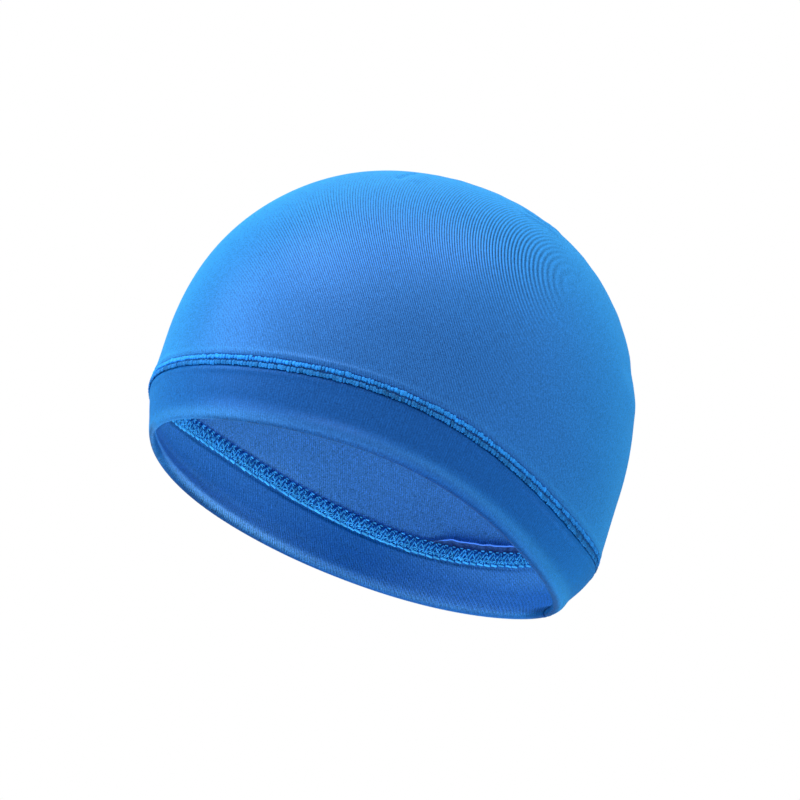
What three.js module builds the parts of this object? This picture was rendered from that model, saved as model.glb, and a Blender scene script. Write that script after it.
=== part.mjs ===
// A cycling skull cap in the form it has when worn: a thin stretch-knit crown sewn to a folded band.
// Millimetres, +Z up, -Y the front, +X the wearer's left. The origin is the middle of the rim opening.
import * as THREE from "three";
import { mergeVertices } from "three/addons/utils/BufferGeometryUtils.js";

// Driving dimensions
const HALF_LENGTH = 100; // front to back, at the widest level
const HALF_WIDTH = 79.4; // side to side, at the widest level
const TOP_HEIGHT = 154; // the top of the crown above the rim
const TOP_SHIFT = 4.8; // how far the top of the crown lies behind the middle of the widest level
const DOME_FULLNESS = 2.11; // exponent of the dome's upright outline, 2 for an ellipse
const CROWN_CLOTH = 1.2; // thickness of the crown's single ply
const BAND_CLOTH = 2; // thickness of the band's two plies together
const ALLOWANCE_CLOTH = 1; // thickness of a seam allowance that is turned and sewn down
const BAND_ALLOWANCE_WIDTH = 8; // of the allowance of the seam between crown and band
const CROWN_ALLOWANCE_WIDTH = 6; // of the allowance of the crown's own seam
const FOLD_RISE = 0.5; // how far the band's plies part above the rim, in radii of its fold
const GAP = 0.3; // between edges that meet
const ALLOWANCE_GAP = 0.5; // between a wall and an allowance on it, so that their facets stay clear

// The outer surface at three levels: length and width are shares of the half sizes, fullness is the exponent of
// the plan outline, egg is how much the back is wider, and shift is how far the middle lies towards the back.
const LEVELS = [
  { name: "rim", height: 0, length: 0.904, width: 0.925, fullness: 1.9, egg: 0, shift: 0.7 },
  { name: "seam", height: 22.6, length: 1.002, width: 0.981, fullness: 1.9, egg: 0, shift: 1.6 },
  { name: "widest", height: 49.7, length: 1, width: 1, fullness: 1.97, egg: 0.06, shift: 0 },
];
const [RIM, SEAM, WIDEST] = LEVELS;

// The height of each edge round the cap: its mean, and the cosine and sine waves that it makes once, twice and
// more times round, counted from the back.
const EDGES = {
  rim: { mean: 0, cosines: [-0.7, -0.4, 0.3, 0.6], sines: [0.3, -1.3, -0.8] },
  seam: { mean: 22.6, cosines: [-0.1, -1.7, 1.3, 1.2], sines: [-0.3, -1.7, -0.3] },
  allowance: { mean: 23.7, cosines: [3.2, 0, 2.2], sines: [0, 0, 0.3] },
};

// The crown's own seam lies in a leaning plane: x = offset + turn * y + lean * (z - height of the band seam).
// It starts as a dart in front of the top and runs over the top and down the back.
const SEAM_PLANE = { offset: -9, turn: 0.12, lean: 0.36 };
const SEAM_CENTRE_HEIGHT = 70; // of the point in the hollow from which its directions are counted
const SEAM_FRONT = THREE.MathUtils.degToRad(-25); // its direction at the dart's tip, 0 at the top
const SEAM_BACK = THREE.MathUtils.degToRad(107); // its direction just above the band's allowance

// How finely the pieces are faceted
const COLUMNS = 72;
const BAND_ROWS = 5;
const FOLD_STEPS = 6;
const ALLOWANCE_ROWS = 3;
const CROWN_LOWER_ROWS = 4;
const DOME_ROWS = 16;
const SEAM_STEPS = 40;

const PROBE = 1e-3; // the step in angle and level over which a slope is measured
const SAME_POINT = 1e-4; // points that are nearer than this are one

const CLOTH_BLUE = 0x2f7fd6;
const STITCHED_BLUE = 0x2671c6;

const { lerp, clamp } = THREE.MathUtils;

// A level is 0 at the rim, 1 at the seam, 2 at the widest and 3 at the top.
function levelAt(height) {
  if (height < SEAM.height) return height / SEAM.height;
  if (height < WIDEST.height) return 1 + (height - SEAM.height) / (WIDEST.height - SEAM.height);
  const rise = clamp((height - WIDEST.height) / (TOP_HEIGHT - WIDEST.height), 0, 1);
  return 2 + Math.asin(rise) / (Math.PI / 2);
}

function blendedSection(lower, upper, share) {
  const swell = Math.sin((clamp(share, 0, 1) * Math.PI) / 2);
  const ease = THREE.MathUtils.smoothstep(share, 0, 1);
  return {
    height: lerp(lower.height, upper.height, share),
    length: lerp(lower.length, upper.length, swell),
    width: lerp(lower.width, upper.width, swell),
    fullness: lerp(lower.fullness, upper.fullness, ease),
    egg: lerp(lower.egg, upper.egg, ease),
    shift: lerp(lower.shift, upper.shift, ease),
  };
}

function domeSection(share) {
  const rise = Math.sin((share * Math.PI) / 2);
  const size = Math.max(1 - rise ** DOME_FULLNESS, 0) ** (1 / DOME_FULLNESS);
  return {
    ...WIDEST,
    height: lerp(WIDEST.height, TOP_HEIGHT, rise),
    length: size,
    width: size,
    shift: TOP_SHIFT * rise ** 2,
  };
}

function sectionAt(level) {
  if (level < 1) return blendedSection(RIM, SEAM, level);
  if (level < 2) return blendedSection(SEAM, WIDEST, level - 1);
  return domeSection(Math.min(level - 2, 1));
}

// A point of the outer surface. The angle is 0 at the back and turns towards the wearer's left.
function surfacePoint(angle, level) {
  const section = sectionAt(level);
  const backward = Math.cos(angle);
  const sideways = Math.sin(angle);
  const sum = Math.abs(backward) ** section.fullness + Math.abs(sideways) ** section.fullness;
  const radius = sum ** (-1 / section.fullness);
  const along = radius * backward;
  return new THREE.Vector3(
    HALF_WIDTH * section.width * radius * sideways * (1 + section.egg * along),
    HALF_LENGTH * section.length * along + section.shift,
    section.height,
  );
}

// The way round the cap along the surface.
function surfaceAround(angle, level) {
  return surfacePoint(angle + PROBE, level)
    .sub(surfacePoint(angle - PROBE, level))
    .normalize();
}

// The way out of the surface at right angles to it.
function surfaceNormal(angle, level) {
  const upward = surfacePoint(angle, level + PROBE).sub(surfacePoint(angle, level));
  return upward.cross(surfaceAround(angle, level)).normalize();
}

// A point under the outer surface, at a depth in from it.
function pointUnder(angle, level, depth) {
  return surfacePoint(angle, level).addScaledVector(surfaceNormal(angle, level), -depth);
}

function edgeHeight(edge, angle) {
  const waves = (sizes, wave) => sizes.reduce((sum, size, i) => sum + size * wave((i + 1) * angle), 0);
  return edge.mean + waves(edge.cosines, Math.cos) + waves(edge.sines, Math.sin);
}

function columnAngles() {
  return Array.from({ length: COLUMNS }, (_, i) => (2 * Math.PI * i) / COLUMNS);
}

// Whole steps from one number to another, both ends included.
function steps(from, to, count) {
  return Array.from({ length: count + 1 }, (_, i) => lerp(from, to, i / count));
}

// A closed mesh through sections of the same number of points. Triangles without area are left out, so a section
// may end in a point that its neighbours share.
function loft(sections, { isRing = false, isOpenSection = false }) {
  const positions = [];
  const addTriangle = (a, b, c) => {
    if (a.distanceTo(b) && b.distanceTo(c) && c.distanceTo(a)) positions.push(...a, ...b, ...c);
  };
  const size = sections[0].length;
  const lastSection = isRing ? sections.length : sections.length - 1;
  const lastPoint = isOpenSection ? size - 1 : size;
  for (let i = 0; i < lastSection; i++) {
    const here = sections[i];
    const next = sections[(i + 1) % sections.length];
    for (let k = 0; k < lastPoint; k++) {
      const after = (k + 1) % size;
      addTriangle(here[k], next[k], next[after]);
      addTriangle(here[k], next[after], here[after]);
    }
  }
  if (!isRing) {
    const first = sections[0];
    const last = sections.at(-1);
    for (let k = 1; k < size - 1; k++) {
      addTriangle(first[0], first[k], first[k + 1]);
      addTriangle(last[0], last[k + 1], last[k]);
    }
  }
  const soup = new THREE.BufferGeometry();
  soup.setAttribute("position", new THREE.Float32BufferAttribute(positions, 3));
  const merged = mergeVertices(soup, SAME_POINT);
  merged.computeVertexNormals();
  return merged;
}

function clothMesh(name, geometry, color) {
  const material = new THREE.MeshStandardMaterial({ color, roughness: 0.6, metalness: 0 });
  const mesh = new THREE.Mesh(geometry, material);
  mesh.name = name;
  return mesh;
}

// The dome: a single ply from the band seam to the top, with one wall outside and one inside.
function crown() {
  const outerTop = surfacePoint(0, 3);
  const innerTop = outerTop.clone().setZ(TOP_HEIGHT - CROWN_CLOTH);
  const sections = columnAngles().map((angle) => {
    const lowest = levelAt(edgeHeight(EDGES.seam, angle) + GAP / 2);
    const levels = [...steps(lowest, 2, CROWN_LOWER_ROWS), ...steps(2, 3, DOME_ROWS).slice(1, -1)];
    const outer = levels.map((level) => surfacePoint(angle, level));
    const inner = levels.map((level) => pointUnder(angle, level, CROWN_CLOTH));
    return [outerTop, ...outer.reverse(), ...inner, innerTop];
  });
  return clothMesh("crown", loft(sections, { isRing: true, isOpenSection: true }), CLOTH_BLUE);
}

// The band: one strip folded lengthwise, so two plies with a round fold at the rim.
function band() {
  const foldRadius = BAND_CLOTH / 2;
  const sections = columnAngles().map((angle) => {
    const top = levelAt(edgeHeight(EDGES.seam, angle) - GAP / 2);
    const bottom = levelAt(edgeHeight(EDGES.rim, angle) + foldRadius * FOLD_RISE);
    const levels = steps(top, bottom, BAND_ROWS);
    const outer = levels.map((level) => surfacePoint(angle, level));
    const inner = levels.map((level) => pointUnder(angle, level, BAND_CLOTH));
    const out = surfaceNormal(angle, bottom);
    const down = surfaceAround(angle, bottom).cross(out).negate();
    const centre = pointUnder(angle, bottom, foldRadius);
    const fold = steps(0, Math.PI, FOLD_STEPS)
      .slice(1, -1)
      .map((turn) =>
        centre
          .clone()
          .addScaledVector(out, foldRadius * Math.cos(turn))
          .addScaledVector(down, foldRadius * Math.sin(turn)),
      );
    return [...outer, ...fold, ...inner.reverse()];
  });
  return clothMesh("band", loft(sections, { isRing: true }), CLOTH_BLUE);
}

// The allowance of the seam between crown and band: sewn flat inside, over the edges of both.
function bandAllowance() {
  const nearDepth = BAND_CLOTH + ALLOWANCE_GAP;
  const farDepth = nearDepth + ALLOWANCE_CLOTH;
  const sections = columnAngles().map((angle) => {
    const low = edgeHeight(EDGES.allowance, angle);
    const levels = steps(levelAt(low + BAND_ALLOWANCE_WIDTH), levelAt(low), ALLOWANCE_ROWS);
    const facingCrown = levels.map((level) => pointUnder(angle, level, nearDepth));
    const facingHead = levels.map((level) => pointUnder(angle, level, farDepth));
    return [...facingCrown, ...facingHead.reverse()];
  });
  return clothMesh("band_seam_allowance", loft(sections, { isRing: true }), STITCHED_BLUE);
}

// Whether a point lies inside the outer surface.
function isInside(point) {
  if (point.z >= TOP_HEIGHT) return false;
  const section = sectionAt(levelAt(point.z));
  const along = (point.y - section.shift) / (HALF_LENGTH * section.length);
  const across = point.x / (HALF_WIDTH * section.width * (1 + section.egg * along));
  return Math.abs(along) ** section.fullness + Math.abs(across) ** section.fullness < 1;
}

// The angle and level of a point of the outer surface.
function placeOnSurface(point) {
  const level = levelAt(point.z);
  const section = sectionAt(level);
  const along = (point.y - section.shift) / (HALF_LENGTH * section.length);
  const across = point.x / (HALF_WIDTH * section.width * (1 + section.egg * along));
  return { angle: Math.atan2(across, along), level };
}

// A point of the crown's own seam, in a direction from the hollow's middle that turns in the seam's plane.
function crownSeamPoint(direction) {
  const { offset, turn, lean } = SEAM_PLANE;
  const centre = new THREE.Vector3(offset + lean * (SEAM_CENTRE_HEIGHT - SEAM.height), 0, SEAM_CENTRE_HEIGHT);
  const upward = new THREE.Vector3(lean, 0, 1).normalize();
  const backward = new THREE.Vector3(turn, 1, 0).normalize();
  const heading = upward.multiplyScalar(Math.cos(direction)).addScaledVector(backward, Math.sin(direction));
  let inside = 0;
  let outside = 2 * TOP_HEIGHT;
  while (outside - inside > SAME_POINT) {
    const middle = (inside + outside) / 2;
    if (isInside(centre.clone().addScaledVector(heading, middle))) inside = middle;
    else outside = middle;
  }
  return centre.addScaledVector(heading, inside);
}

// The allowance of the crown's own seam: a narrow strip inside, from the dart's tip to the band's allowance.
function crownAllowance() {
  const nearDepth = CROWN_CLOTH + ALLOWANCE_GAP;
  const farDepth = nearDepth + ALLOWANCE_CLOTH;
  const halfWidth = CROWN_ALLOWANCE_WIDTH / 2;
  const directions = steps(SEAM_FRONT, SEAM_BACK, SEAM_STEPS);
  const points = directions.map(crownSeamPoint);
  const sections = points.map((point, i) => {
    const before = points[Math.max(i - 1, 0)];
    const after = points[Math.min(i + 1, points.length - 1)];
    const along = after.clone().sub(before).normalize();
    const { angle, level } = placeOnSurface(point);
    const out = surfaceNormal(angle, level);
    const across = new THREE.Vector3().crossVectors(along, out).normalize();
    const corner = (side, depth) =>
      point
        .clone()
        .addScaledVector(out, -depth)
        .addScaledVector(across, side * halfWidth);
    return [corner(-1, farDepth), corner(1, farDepth), corner(1, nearDepth), corner(-1, nearDepth)];
  });
  return clothMesh("crown_seam_allowance", loft(sections, {}), STITCHED_BLUE);
}

const cap = new THREE.Group();
cap.add(crown(), band(), bandAllowance(), crownAllowance());

export default cap;
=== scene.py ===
# A cycling skull cap of blue stretch jersey: a crown with one seam of its own, sewn to a folded band.
# Sizes are in millimetres and turn into metres as each mesh is made.
# +Z is up, -Y the front and +X the wearer's left.
import math

import bpy
import numpy as np
from mathutils import Matrix, Vector


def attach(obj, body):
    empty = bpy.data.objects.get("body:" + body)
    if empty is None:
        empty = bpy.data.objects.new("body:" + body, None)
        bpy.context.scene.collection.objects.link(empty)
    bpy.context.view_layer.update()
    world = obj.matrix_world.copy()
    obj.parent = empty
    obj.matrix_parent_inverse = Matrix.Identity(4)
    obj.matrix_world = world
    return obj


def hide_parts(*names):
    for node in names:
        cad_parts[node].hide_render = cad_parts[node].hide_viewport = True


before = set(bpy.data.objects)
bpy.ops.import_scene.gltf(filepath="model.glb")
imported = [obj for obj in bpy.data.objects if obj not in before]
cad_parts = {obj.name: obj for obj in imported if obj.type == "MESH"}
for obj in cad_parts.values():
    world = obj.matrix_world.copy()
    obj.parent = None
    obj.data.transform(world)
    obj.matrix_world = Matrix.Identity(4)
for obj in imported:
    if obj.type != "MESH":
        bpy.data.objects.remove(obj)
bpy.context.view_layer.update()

MM = 0.001
TURN = 2 * math.pi

# The cap's driving dimensions, as its solids have them
HALF_LENGTH = 100.0
HALF_WIDTH = 79.4
TOP_HEIGHT = 154.0
TOP_SHIFT = 4.8
DOME_FULLNESS = 2.11
LEVELS = {
    "rim": {"height": 0.0, "length": 0.904, "width": 0.925, "fullness": 1.9, "egg": 0.0, "shift": 0.7},
    "seam": {"height": 22.6, "length": 1.002, "width": 0.981, "fullness": 1.9, "egg": 0.0, "shift": 1.6},
    "widest": {"height": 49.7, "length": 1.0, "width": 1.0, "fullness": 1.97, "egg": 0.06, "shift": 0.0},
}
EDGES = {
    "rim": {"mean": 0.0, "cosines": (-0.7, -0.4, 0.3, 0.6), "sines": (0.3, -1.3, -0.8)},
    "seam": {"mean": 22.6, "cosines": (-0.1, -1.7, 1.3, 1.2), "sines": (-0.3, -1.7, -0.3)},
    "allowance": {"mean": 23.7, "cosines": (4.4, 0.0, 2.9), "sines": (0.0, 0.0, 0.3)},
}
FRONT_EASE = 0.5  # how far the cloth lies inside the solids' outline at the front
SEAM_PLANE = {"offset": -9.0, "turn": 0.12, "lean": 0.36}
SEAM_CENTRE_HEIGHT = 70.0
SEAM_FRONT = math.radians(-25)
SEAM_BACK = math.radians(107)
SEAM_RUNS_ON = 0.6  # how much further down the back the groove outside runs than the allowance inside
SEAM_EASE = 0.12
SEAM_RADIUS = 90.0
PUCKER_PITCH = 17.0
FINE_PUCKER_PITCH = 10.3
CLOSING_SEAM = math.radians(-0.3)  # where the band's ends are joined

# The cloth and its seams
PLY = 0.8
BAND_CLOTH = 2.0
ALLOWANCE_CLOTH = 0.8
CROWN_ALLOWANCE_WIDTH = 6.0
TUCK = 1.5  # how far the band's inner ply runs up behind the inner stitching
RIM_DROP = 0.5
FOLD_HEIGHT = 9.0
FOLD_EASE = 6.0
RIM_FOLD = {
    "out": (0.0, 0.0, 0.0, 0.0, 0.0, 0.0, 0.0, -0.8, -1.6, -2.1, -2.2, -2.2, -2.1, -2.1),
    "up": (9.0, 7.6, 6.0, 4.4, 2.9, 1.5, 0.4, 0.0, 0.3, 1.3, 3.0, 5.0, 7.0, 9.0),
    "swell": (0.0, 0.15, 0.7, 1.45, 1.8, 1.5, 0.5, 0.0, -0.6, -1.3, -1.7, -1.5, -1.0, -0.5),
}
BAND_HOLLOW = 1.1  # how far the band's outside sinks between the seam and the fold
# Places round the band: the direction of each, and its reach as the sine of half an angle
PLACES = {
    "back": {"degrees": 0, "reach": 0.5},
    "corner": {"degrees": 18, "reach": 0.16},  # where the fold stands off outside at the back
    "highlight": {"degrees": 146, "reach": 0.17},  # where the painted highlight on the fold outside is brightest
    "brow": {"degrees": 186, "reach": 0.2},  # where the fold runs most smoothly into the band's inside
    "fold_front": {"degrees": -130, "reach": 0.35},  # where the fold stands off most inside
    "far_side": {"degrees": -74, "reach": 0.22},  # where the painted shade on the band's inside is deepest
}
PAST_BROW = (math.radians(178), math.radians(212))  # where the fold outside looks like the band's inside
NEAR_SIDE = math.radians(72)  # the middle of the side where the fold is tightest and painted shade darkens its own edge
ROW_WIDTH = 1.65  # of each of the two rows of stitching outside
ROW_START = 0.4  # from the middle of the rows to each of them
ROW_MIDDLE = 0.35  # how far the middle of the rows lies above the seam
ROW_END = ROW_START + ROW_WIDTH

# The stitches: their sizes, and how much each of these varies from one stitch to the next
LADDER_PITCH = 1.3
LADDER = {"lean": 0.22, "half_width": 0.68, "half_height": 0.36, "sunk": 0.4, "raised": 0.42}
LADDER_VARIES = {"lean": 0.14, "shift": 0.07, "start": 0.12, "end": 0.16, "raised": 0.18, "half_width": 0.14}
GROOVE_WAVE = {"pitch": 4.1, "depth": 0.14}  # of the groove's bends between the rows
CHAIN_PITCH = 3.4
CHAIN_VARIES = {"along": 0.03, "up": 0.1, "out": 0.06, "half_width": 0.08}
STRAND_LIFT = 0.12  # of the inner stitches' threads off the allowance that they lie on

# The knit
WALE_PITCH = 1.0
WALE_RUN = {"along": 0.936, "up": 0.35}  # the direction across the wales on the sides of the crown
WALE_BEND = 0.003  # how they turn towards the back
OUTER_LEAN = 0.32  # of the band's wales outside at the back
INNER_LEAN = -0.4  # of the band's wales inside
# The clearer, even lines of the knit on the band's inside
LINE_PITCH = 1.25
LINE_LEAN = {"side": -0.4, "back": -1.3}
LINE_STRENGTH = 0.32
ENDS_HEIGHT = 60.0  # of the places at the front and back round which the wales bend
# How the wales flow over the side of the dome, where the knit is stretched most: how many are crossed on one
# reach backward or upward from the level height, and how many more or fewer further on
FLOW_REACH = 50.0
FLOW_LEVEL = 80.0
FLOW = {
    "back": 36.5, "back_square": -18.6, "back_cube": -5.6,
    "up": 23.0, "up_square": -14.2, "up_cube": -7.5,
    "both": -2.2,
}
# Where these lines show: their middle, their reach, and their strength
FLOW_PLACES = {
    "upper_side": {"y": -8.0, "z": 106.0, "reach_y": 40.0, "reach_z": 24.0, "strength": 1.0},
    "upper_front": {"y": -58.0, "z": 84.0, "reach_y": 34.0, "reach_z": 26.0, "strength": 0.65},
    "lower_side": {"y": -30.0, "z": 50.0, "reach_y": 60.0, "reach_z": 40.0, "strength": 0.4},
}

# The cloth's colour: seen straight on outside, a painted sheen added as it turns away,
# and on its inside, paler with painted light that comes through the thin cloth.
# Folded double, the band looks deeper by a tint, partly the doubled cloth and partly painted shade;
# the tint also gives painted shade between stitches, and taken off it gives painted light.
FACING_COLOUR = (0.024, 0.148, 0.49)
PAINTED_SHEEN_COLOUR = (0.012, 0.3, 0.58)
# Painted light: the inside is paler, as light comes through the thin cloth
PAINTED_LIGHT_INNER_COLOUR = (0.065, 0.27, 0.63)
# The tint for the doubled band, for painted shade, and, taken off, for painted light
DEPTH_AND_SHADE_TINT = (0.42, 0.67, 0.79)
SATIN = 0.2  # share of the light that is reflected in the cloth's own colour
THREAD_COLOUR = (0.018, 0.25, 0.74)
# The inner stitching's thread is the same thread, painted lighter as painted light
LIT_INNER_THREAD_COLOUR = (0.05, 0.42, 0.9)
# The bound allowance is the same jersey, painted darker as shade between the threads
SHADED_BOUND_COLOUR = (0.012, 0.12, 0.42)  # of the allowance between the inner stitches
RAW_EDGE_COLOUR = (0.05, 0.18, 0.62)
# How fine each noise is, and how much each part of the texture lightens the colour or raises the surface
GRAINS = {"dashes": 1.1, "speckle": 1700.0, "clouds": 28.0, "filaments": 2600.0, "tufts": 700.0}
KNIT_TONES = {"outside": 0.28, "inside_more": 0.25}
CLOTH_TONES = {"lines": 0.62, "speckle": 0.6, "clouds": 0.05, "shade": -0.45}
CLOTH_RELIEF = {"knit": 0.6, "lines": 1.0, "speckle": 0.3}
THREAD_TONES = {"filaments": 0.25, "tufts": 0.3, "tone": 0.13}

# How finely the cloth is meshed
COLUMNS = 390
COLUMN_GAP = 0.005  # the least turn between two columns beside the closing seam
BESIDE_STITCHES = np.arange(0.12, 5.8, 0.28)  # how far the close rows lie from the band seam
PAST_STITCHES = np.arange(6.4, 14, 1.2)
SIDES = 8  # of each thread
PROBE = 1e-3

# The photograph's view
VIEW_AZIMUTH = math.radians(74.56)
VIEW_ELEVATION = math.radians(-22.34)
VIEW_ROLL = math.radians(-20.58)
VIEW_DISTANCE = 993.2
VIEW_TARGET = Vector((0, -0.07, 57.2))
FRAME_PIXELS = 800
FOCAL_PIXELS = 2412.3
SENSOR = 36.0

# The floor, in metres
FLOOR_HEIGHT = -0.85
FLOOR_WIDTH = 8.0

random = np.random.default_rng(7)


# The outer surface. A level is 0 at the rim, 1 at the band seam, 2 at the widest and 3 at the top.
def smooth(share):
    share = np.clip(share, 0, 1)
    return share * share * (3 - 2 * share)


def blended_section(lower, upper, share):
    swell = np.sin(np.minimum(share, 1) * math.pi / 2)
    ease = smooth(share)
    shares = {"height": share, "length": swell, "width": swell, "fullness": ease, "egg": ease, "shift": ease}
    return {key: lower[key] + (upper[key] - lower[key]) * shares[key] for key in shares}


def dome_section(share):
    widest = LEVELS["widest"]
    rise = np.sin(np.clip(share, 0, 1) * math.pi / 2)
    size = np.maximum(1 - rise**DOME_FULLNESS, 0) ** (1 / DOME_FULLNESS)
    return {
        "height": widest["height"] + (TOP_HEIGHT - widest["height"]) * rise,
        "length": size,
        "width": size,
        "fullness": widest["fullness"] + 0 * rise,
        "egg": widest["egg"] + 0 * rise,
        "shift": TOP_SHIFT * rise**2,
    }


def section_at(level):
    lower = blended_section(LEVELS["rim"], LEVELS["seam"], level)
    middle = blended_section(LEVELS["seam"], LEVELS["widest"], np.maximum(level - 1, 0))
    dome = dome_section(level - 2)
    return {key: np.where(level < 1, lower[key], np.where(level < 2, middle[key], dome[key])) for key in dome}


def level_at(height):
    seam, widest = LEVELS["seam"]["height"], LEVELS["widest"]["height"]
    rise = np.clip((height - widest) / (TOP_HEIGHT - widest), 0, 1)
    above_seam = 1 + (height - seam) / (widest - seam)
    dome = 2 + np.arcsin(rise) / (math.pi / 2)
    return np.where(height < seam, height / seam, np.where(height < widest, above_seam, dome))


def surface(angle, level):
    """Points of the outer surface. The angle is 0 at the back and turns towards the wearer's left."""
    angle, level = np.broadcast_arrays(angle, level)
    section = section_at(level)
    backward, sideways = np.cos(angle), np.sin(angle)
    full = section["fullness"]
    radius = (np.abs(backward) ** full + np.abs(sideways) ** full) ** (-1 / full)
    along = radius * backward
    x = HALF_WIDTH * section["width"] * radius * sideways * (1 + section["egg"] * along)
    y = HALF_LENGTH * section["length"] * along + section["shift"] + FRONT_EASE * np.minimum(along, 0) ** 2
    return np.stack([x, y, section["height"]], axis=-1)


def unit(vectors):
    return vectors / np.maximum(np.linalg.norm(vectors, axis=-1, keepdims=True), 1e-12)


def around(angle, level):
    return unit(surface(angle + PROBE, level) - surface(angle - PROBE, level))


def outward(angle, level):
    upward = surface(angle, level + PROBE) - surface(angle, level)
    return unit(np.cross(upward, around(angle, level)))


def beside_surface(angle, height, out):
    """Points at heights, a distance out of the surface."""
    level = level_at(height)
    return surface(angle, level) + outward(angle, level) * np.asarray(out)[..., None]


def edge_height(name, angle):
    edge = EDGES[name]
    height = edge["mean"] + 0 * angle
    for i, size in enumerate(edge["cosines"]):
        height = height + size * np.cos((i + 1) * angle)
    for i, size in enumerate(edge["sines"]):
        height = height + size * np.sin((i + 1) * angle)
    return height


def even_angles(name, pitch):
    """Angles that divide an edge into whole pitches."""
    fine = np.linspace(0, TURN, 7201)
    line = surface(fine, level_at(edge_height(name, fine)))
    run = np.concatenate([[0], np.cumsum(np.linalg.norm(np.diff(line, axis=0), axis=1))])
    count = round(run[-1] / pitch)
    return np.interp(np.arange(count) * run[-1] / count, run, fine)


def hill(distance, reach):
    return np.exp(-((distance / reach) ** 2))


def between(value, start, end, ease):
    return smooth((value - start) / ease) * smooth((end - value) / ease)


def place_share(name, angles):
    """1 at the middle of a place round the band, falling to 0 away from it."""
    place = PLACES[name]
    return hill(np.sin((angles - math.radians(place["degrees"])) / 2), place["reach"])


# The marks that seams and folds leave in the cloth
def seam_coordinates(points):
    """How far points lie from the crown seam's plane, and their direction in it from the hollow's middle."""
    offset, turn, lean = SEAM_PLANE["offset"], SEAM_PLANE["turn"], SEAM_PLANE["lean"]
    x, y, z = np.moveaxis(points, -1, 0)
    aside = (x - offset - turn * y - lean * (z - LEVELS["seam"]["height"])) / math.sqrt(1 + turn**2 + lean**2)
    direction = np.arctan2(y, z - SEAM_CENTRE_HEIGHT)
    return aside, direction


def crown_seam_relief(points):
    """The crown's seam: a groove between two soft rises, with the cloth slightly puckered across it."""
    aside, direction = seam_coordinates(points)
    shown = between(direction, SEAM_FRONT, SEAM_BACK + SEAM_RUNS_ON, SEAM_EASE) * (points[..., 2] > 0)
    turns = direction * SEAM_RADIUS * TURN
    groove = -0.4 * hill(aside, 0.7)
    rises = 0.12 * hill(np.abs(aside) - 2.2, 1.2)
    puckers = np.cos(turns / PUCKER_PITCH + 1.0) + 0.6 * np.cos(turns / FINE_PUCKER_PITCH)
    return shown * (groove + rises + 0.06 * hill(aside, 6.0) * puckers)


# Creases and swellings of the cloth: where each runs from and to, its height, and its reach to the sides
FOLDS = {
    "dart_crease": {"start": (38.4, -43.5, 128.1), "end": (30.0, -36.5, 137.6), "height": -0.7, "reach": 1.2},
    "dart_rise": {"start": (41.0, -38.0, 129.0), "end": (33.0, -31.0, 138.0), "height": 0.3, "reach": 2.6},
    "gather_ridge": {"start": (48.2, 8.5, 135.2), "end": (46.0, 24.0, 135.0), "height": 0.45, "reach": 1.6},
    "gather_hollow": {"start": (42.5, 11.5, 139.4), "end": (42.0, 22.5, 138.5), "height": -0.8, "reach": 1.9},
    "gather_lip": {"start": (36.0, 23.5, 142.0), "end": (39.0, 27.0, 140.2), "height": 0.3, "reach": 1.8},
    "back_dip": {"start": (30.0, 78.0, 100.0), "end": (48.0, 73.0, 93.5), "height": -0.6, "reach": 5.0},
    "back_swell": {"start": (34.0, 83.5, 86.5), "end": (46.0, 79.0, 82.5), "height": 0.6, "reach": 6.0},
}


def fold_relief(points):
    """The height of all the creases and swellings at points of the surface."""
    relief = np.zeros(points.shape[:-1])
    for fold in FOLDS.values():
        start, end = np.array(fold["start"]), np.array(fold["end"])
        run = end - start
        share = np.clip(((points - start) @ run) / (run @ run), 0, 1)
        nearest = start + share[..., None] * run
        distance = np.linalg.norm(points - nearest, axis=-1)
        relief += fold["height"] * hill(distance, fold["reach"])
    return relief


def slack(points):
    """Very soft unevenness of stretched cloth."""
    x, y, z = np.moveaxis(points, -1, 0)
    first = np.sin(0.055 * y + 0.031 * z + 0.6) * np.cos(0.047 * z - 0.022 * x)
    second = np.sin(0.09 * x + 0.04 * y) * np.sin(0.071 * z + 1.3)
    return 0.09 * first + 0.08 * second


def stitch_relief(away, row_end):
    """The cloth beside the band seam: a groove, a row pressed down by its stitches, and fullness past it."""
    groove = -0.6 * hill(away, 0.5)
    pressed = -0.4 * smooth(away / 0.3) * smooth((row_end + 0.4 - away) / 0.5)
    needle_line = -0.1 * hill(away - row_end - 0.1, 0.35)
    fullness = 0.25 * hill(away - row_end - 1.9, 1.2)
    return groove + pressed + needle_line + fullness


def stitch_shade(away, row_end):
    """How much darker the cloth is between the stitches, as painted shade, and along the needle line,
    as painted shadow and needle holes.
    """
    row = smooth((row_end + 0.1 - away) / 0.3)
    needle_line = 0.45 * hill(away - row_end - 0.25, 0.25)
    return np.clip(0.45 * row + needle_line, 0, 1)


def closing_seam(points):
    """How far points at the back of the band lie from its closing seam."""
    place = surface(CLOSING_SEAM, 1.0)[0]
    return np.where(points[..., 1] > 0, np.abs(points[..., 0] - place), HALF_WIDTH)


# Meshes
def new_object(name, points, faces, material, slot, **attributes):
    """A mesh object from points in millimetres, with a number for each point under each attribute's name."""
    mesh = bpy.data.meshes.new(name)
    mesh.from_pydata((np.asarray(points).reshape(-1, 3) * MM).tolist(), [], faces)
    mesh.update()
    mesh.shade_smooth()
    mesh.materials.append(material)
    for key, values in attributes.items():
        layer = mesh.attributes.new(key, "FLOAT", "POINT")
        layer.data.foreach_set("value", np.asarray(values, np.float32).ravel())
    piece = bpy.data.objects.new(name, mesh)
    bpy.context.scene.collection.objects.link(piece)
    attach(piece, "root")
    return piece


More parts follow.
